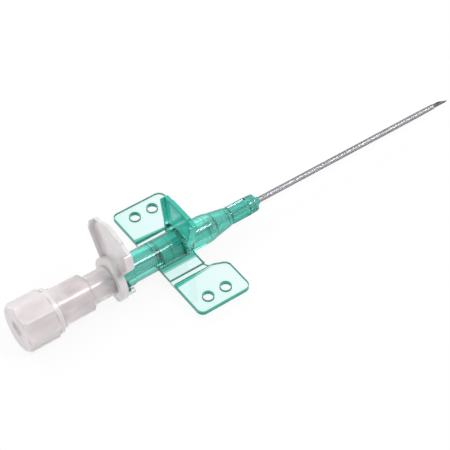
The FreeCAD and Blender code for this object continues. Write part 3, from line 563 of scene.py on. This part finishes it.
def makeNoseRibs():
    look = noseRib
    bpy.ops.object.select_all(action="DESELECT")
    bpy.ops.mesh.primitive_cube_add(size=1.0)
    rib = bpy.context.object
    rib.name = "noseRib1"
    rib.location = ((look["rear"] + look["front"]) / 2, 0, (look["foot"] + look["top"]) / 2)
    rib.scale = (look["front"] - look["rear"], look["width"], look["top"] - look["foot"])
    bpy.ops.object.transform_apply(location=True, rotation=True, scale=True)
    selectFaces(rib, lambda face: face.normal.z > 0.9)
    bpy.ops.transform.resize(value=(look["topLong"], look["topWide"], 1),
                             center_override=((look["rear"] + look["front"]) / 2, 0, look["top"]))
    bpy.ops.mesh.bevel(offset=look["bevel"], segments=2, affect="EDGES")
    bpy.ops.object.mode_set(mode="OBJECT")
    for i in range(look["count"]):
        piece = rib
        if i > 0:
            piece = rib.copy()
            piece.data = rib.data.copy()
            piece.name = "noseRib" + str(i + 1)
            scene.collection.objects.link(piece)
        bpy.ops.object.select_all(action="DESELECT")
        bpy.context.view_layer.objects.active = piece
        piece.select_set(True)
        bpy.ops.object.mode_set(mode="EDIT")
        bpy.ops.mesh.select_all(action="SELECT")
        turn = 45 if i == 0 else 90 * i      # the copies start from the first rib's turned place
        bpy.ops.transform.rotate(value=math.radians(turn), orient_axis="X",
                                 center_override=(0, 0, 0))
        recalculateNormals()
        settle(piece, greenMaterial, "catheter")


# rim round the nose's front end, with the tube coming out of a shallow recess
noseRim = {
    "rear": -0.00175, "front": -0.0009,
    "radius": 0.00182, "lip": 0.00045, "recess": 0.00025,
    "bevel": 0.00025,
    "hole": 0.00102,             # clears the collar round the tube
    "sides": 48,
}


def makeNoseRim():
    look = noseRim
    bpy.ops.object.select_all(action="DESELECT")
    bpy.ops.mesh.primitive_cylinder_add(
        vertices=look["sides"], radius=look["radius"], depth=look["front"] - look["rear"],
        location=((look["front"] + look["rear"]) / 2, 0, 0), rotation=(0, math.radians(90), 0))
    rim = bpy.context.object
    rim.name = "noseRim"
    bpy.ops.object.transform_apply(location=True, rotation=True, scale=True)
    selectFaces(rim, lambda face: face.normal.x > 0.9)
    bpy.ops.mesh.bevel(offset=look["bevel"], segments=3, affect="EDGES")
    slope = look["bevel"] / 4
    selectFaces(rim, lambda face: face.normal.x > 0.99 and len(face.verts) > 4)
    bpy.ops.mesh.inset(thickness=look["lip"] - look["bevel"])
    bpy.ops.mesh.inset(thickness=slope, depth=-look["recess"])
    bpy.ops.mesh.inset(thickness=look["radius"] - look["lip"] - slope - look["hole"])
    selectFaces(rim, lambda face: face.normal.x < -0.99 and len(face.verts) > 4)
    bpy.ops.mesh.inset(thickness=look["radius"] - look["hole"])
    # the two round faces left in the middle open into a hole
    selectFaces(rim, lambda face: len(face.verts) > 4)
    bpy.ops.mesh.bridge_edge_loops()
    recalculateNormals()
    bpy.ops.object.shade_smooth_by_angle(angle=math.radians(30))
    settle(rim, greenMaterial, "catheter")


# ribbed stop ring in the barrel's bore, seen through the wall behind the tab
stopRing = {
    "rear": -0.0243, "front": -0.0186,
    "radius": 0.0017,            # the ring's inside; the wall stands outwards from here
    "wall": 0.0003,              # and reaches that far past the bore, into the barrel
    "groove": -0.0222, "grooveWidth": 0.0003,
    "grooveFloor": (0.5, 0.9, 0.9),      # its width and radius as shares of what they were
    "fluteEdge": 0.00003, "fluteDepth": 0.00002,
    "sides": 48,
    "lineWidth": 0.00025, "lineStretch": 0.02,
    "roughness": 0.3,
    "colour": "#35B8A4", "deep": "#1F9582",
}


def makeRingPlastic():
    # gives a deeper, finely lined teal behind the clear wall
    material, tree = newMaterial("tealAcetal")
    coords = addNode(tree, "ShaderNodeTexCoord")
    stretch = addNode(tree, "ShaderNodeMapping", {"Scale": (stopRing["lineStretch"], 1.0, 1.0)},
                      {"Vector": coords.outputs["Object"]})
    lines = addNode(tree, "ShaderNodeTexNoise", {
        "Scale": 1 / stopRing["lineWidth"], "Detail": 1.0,
    }, {"Vector": stretch.outputs[0]}).outputs[0]
    colour = addNode(tree, "ShaderNodeMix", {
        "data_type": "RGBA", 6: linear(stopRing["deep"]), 7: linear(stopRing["colour"]),
    }, {0: lines}).outputs[2]
    skin = addNode(tree, "ShaderNodeBsdfPrincipled", {
        "Roughness": stopRing["roughness"], "IOR": 1.48,
    }, {"Base Color": colour})
    finishMaterial(tree, skin.outputs[0])
    return material


def makeStopRing():
    look = stopRing
    bpy.ops.object.select_all(action="DESELECT")
    bpy.ops.mesh.primitive_cylinder_add(
        vertices=look["sides"], radius=look["radius"], depth=look["front"] - look["rear"],
        end_fill_type="NOTHING", location=((look["front"] + look["rear"]) / 2, 0, 0),
        rotation=(0, math.radians(90), 0))
    ring = bpy.context.object
    ring.name = "stopRing"
    bpy.ops.object.transform_apply(location=True, rotation=True, scale=True)
    for side in (-0.5, 0.5):
        bpy.ops.object.mode_set(mode="EDIT")
        bpy.ops.mesh.select_all(action="SELECT")
        bpy.ops.mesh.bisect(plane_co=(look["groove"] + side * look["grooveWidth"], 0, 0),
                            plane_no=(1, 0, 0))
    selectFaces(ring, lambda face: abs(face.calc_center_median().x - look["groove"])
                < look["grooveWidth"] / 2)
    bpy.ops.transform.resize(value=look["grooveFloor"], center_override=(look["groove"], 0, 0))
    # every second strip becomes a flute
    strip = 2 * math.pi / look["sides"]
    selectFaces(ring, lambda face: abs(face.normal.x) < 0.1
                and round(math.atan2(face.normal.y, face.normal.z) / strip - 0.5) % 2 == 0)
    bpy.ops.mesh.inset(thickness=look["fluteEdge"], depth=-look["fluteDepth"],
                       use_individual=True)
    # this tube is still open, and its normals come out inwards, so the wall stands outwards
    recalculateNormals()
    thicken = ring.modifiers.new("wall", "SOLIDIFY")
    thicken.thickness = look["wall"]
    thicken.offset = -1
    bpy.ops.object.modifier_apply(modifier="wall")
    bpy.ops.object.shade_smooth_by_angle(angle=math.radians(30))
    settle(ring, makeRingPlastic(), "catheter")


makeNoseRibs()
makeNoseRim()
makeStopRing()
print("ribs, rim and stop ring made")

# floor and studio light
studio = {
    "floorSize": 3.0,
    "floorColour": "#E8E8E8",
    "shadowShare": 0.1,          # how much of the floor's look is lit by the lamps
    "worldStrength": 1.0,
    "worldSkyTop": "#FFFFFF",
    "worldHorizon": "#727276",
    "worldLean": (0.2, 0.0, 0.9),    # where the light end of the sky's fade points
    "worldFade": (-0.4, 0.9),
    "aim": (-0.02, 0.0, 0.0),        # both lamps point at the hub
    "sky": {"place": (-0.1, 0.28, 0.42), "long": 0.35, "wide": 0.3, "power": 0.8},
    "strip": {"place": (0.17, -0.19, 0.40), "long": 0.22, "wide": 0.08, "power": 0.8},
}


def makeFloor():
    bpy.ops.object.select_all(action="DESELECT")
    bpy.ops.mesh.primitive_plane_add(size=studio["floorSize"], location=(0, 0, cadBox[0].z))
    floor = bpy.context.object
    floor.name = "floor"
    material, tree = newMaterial("whiteFloor")
    path = addNode(tree, "ShaderNodeLightPath")
    share = addNode(tree, "ShaderNodeMath", {"operation": "MULTIPLY", 1: 1 - studio["shadowShare"]},
                    {0: path.outputs["Is Camera Ray"]})
    through = addNode(tree, "ShaderNodeMath", {"operation": "MAXIMUM"},
                      {0: path.outputs["Is Glossy Ray"], 1: path.outputs["Is Transmission Ray"]})
    share = addNode(tree, "ShaderNodeMath", {"operation": "MAXIMUM"},
                    {0: share.outputs[0], 1: through.outputs[0]})
    paint = addNode(tree, "ShaderNodeBsdfDiffuse", {"Color": linear(studio["floorColour"])})
    glow = addNode(tree, "ShaderNodeEmission", {"Color": (1, 1, 1, 1), "Strength": 1.0})
    blend = addNode(tree, "ShaderNodeMixShader", None,
                    {0: share.outputs[0], 1: paint.outputs[0], 2: glow.outputs[0]})
    finishMaterial(tree, blend.outputs[0])
    floor.data.materials.append(material)


def makeWorld():
    world = bpy.data.worlds.new("studio")
    scene.world = world
    world.use_nodes = True
    tree = world.node_tree
    tree.nodes.clear()
    coords = addNode(tree, "ShaderNodeTexCoord")
    lean = addNode(tree, "ShaderNodeVectorMath", {
        "operation": "DOT_PRODUCT", 1: studio["worldLean"],
    }, {0: coords.outputs["Generated"]})
    rise = addNode(tree, "ShaderNodeMapRange", {
        "From Min": studio["worldFade"][0], "From Max": studio["worldFade"][1],
    }, {"Value": lean.outputs["Value"]})
    sky = addNode(tree, "ShaderNodeMix", {
        "data_type": "RGBA",
        6: linear(studio["worldHorizon"]), 7: linear(studio["worldSkyTop"]),
    }, {0: rise.outputs[0]})
    light = addNode(tree, "ShaderNodeBackground", {"Strength": studio["worldStrength"]},
                    {"Color": sky.outputs[2]})
    white = addNode(tree, "ShaderNodeBackground", {"Color": (1, 1, 1, 1), "Strength": 1.0})
    path = addNode(tree, "ShaderNodeLightPath")
    seen = addNode(tree, "ShaderNodeMath", {"operation": "MAXIMUM"},
                   {0: path.outputs["Is Camera Ray"], 1: path.outputs["Is Transmission Ray"]})
    seen = addNode(tree, "ShaderNodeMath", {"operation": "MAXIMUM"},
                   {0: seen.outputs[0], 1: path.outputs["Is Glossy Ray"]})
    blend = addNode(tree, "ShaderNodeMixShader", None, {
        0: seen.outputs[0], 1: light.outputs[0], 2: white.outputs[0],
    })
    addNode(tree, "ShaderNodeOutputWorld", links={"Surface": blend.outputs[0]})


def makeLamp(name, look):
    # a flat softbox, with its long side along the barrel
    data = bpy.data.lights.new(name, "AREA")
    data.shape = "RECTANGLE"
    data.size = look["long"]
    data.size_y = look["wide"]
    data.energy = look["power"]
    lamp = bpy.data.objects.new(name, data)
    lamp.location = look["place"]
    away = (Vector(look["place"]) - Vector(studio["aim"])).normalized()
    along = (Vector((1, 0, 0)) - away * away.x).normalized()
    turn = Matrix((along, away.cross(along), away)).transposed()
    lamp.rotation_euler = turn.to_euler()
    scene.collection.objects.link(lamp)


makeFloor()
makeWorld()
makeLamp("skyLamp", studio["sky"])
makeLamp("stripLamp", studio["strip"])
scene.view_settings.view_transform = "Standard"
print("floor and lights set")
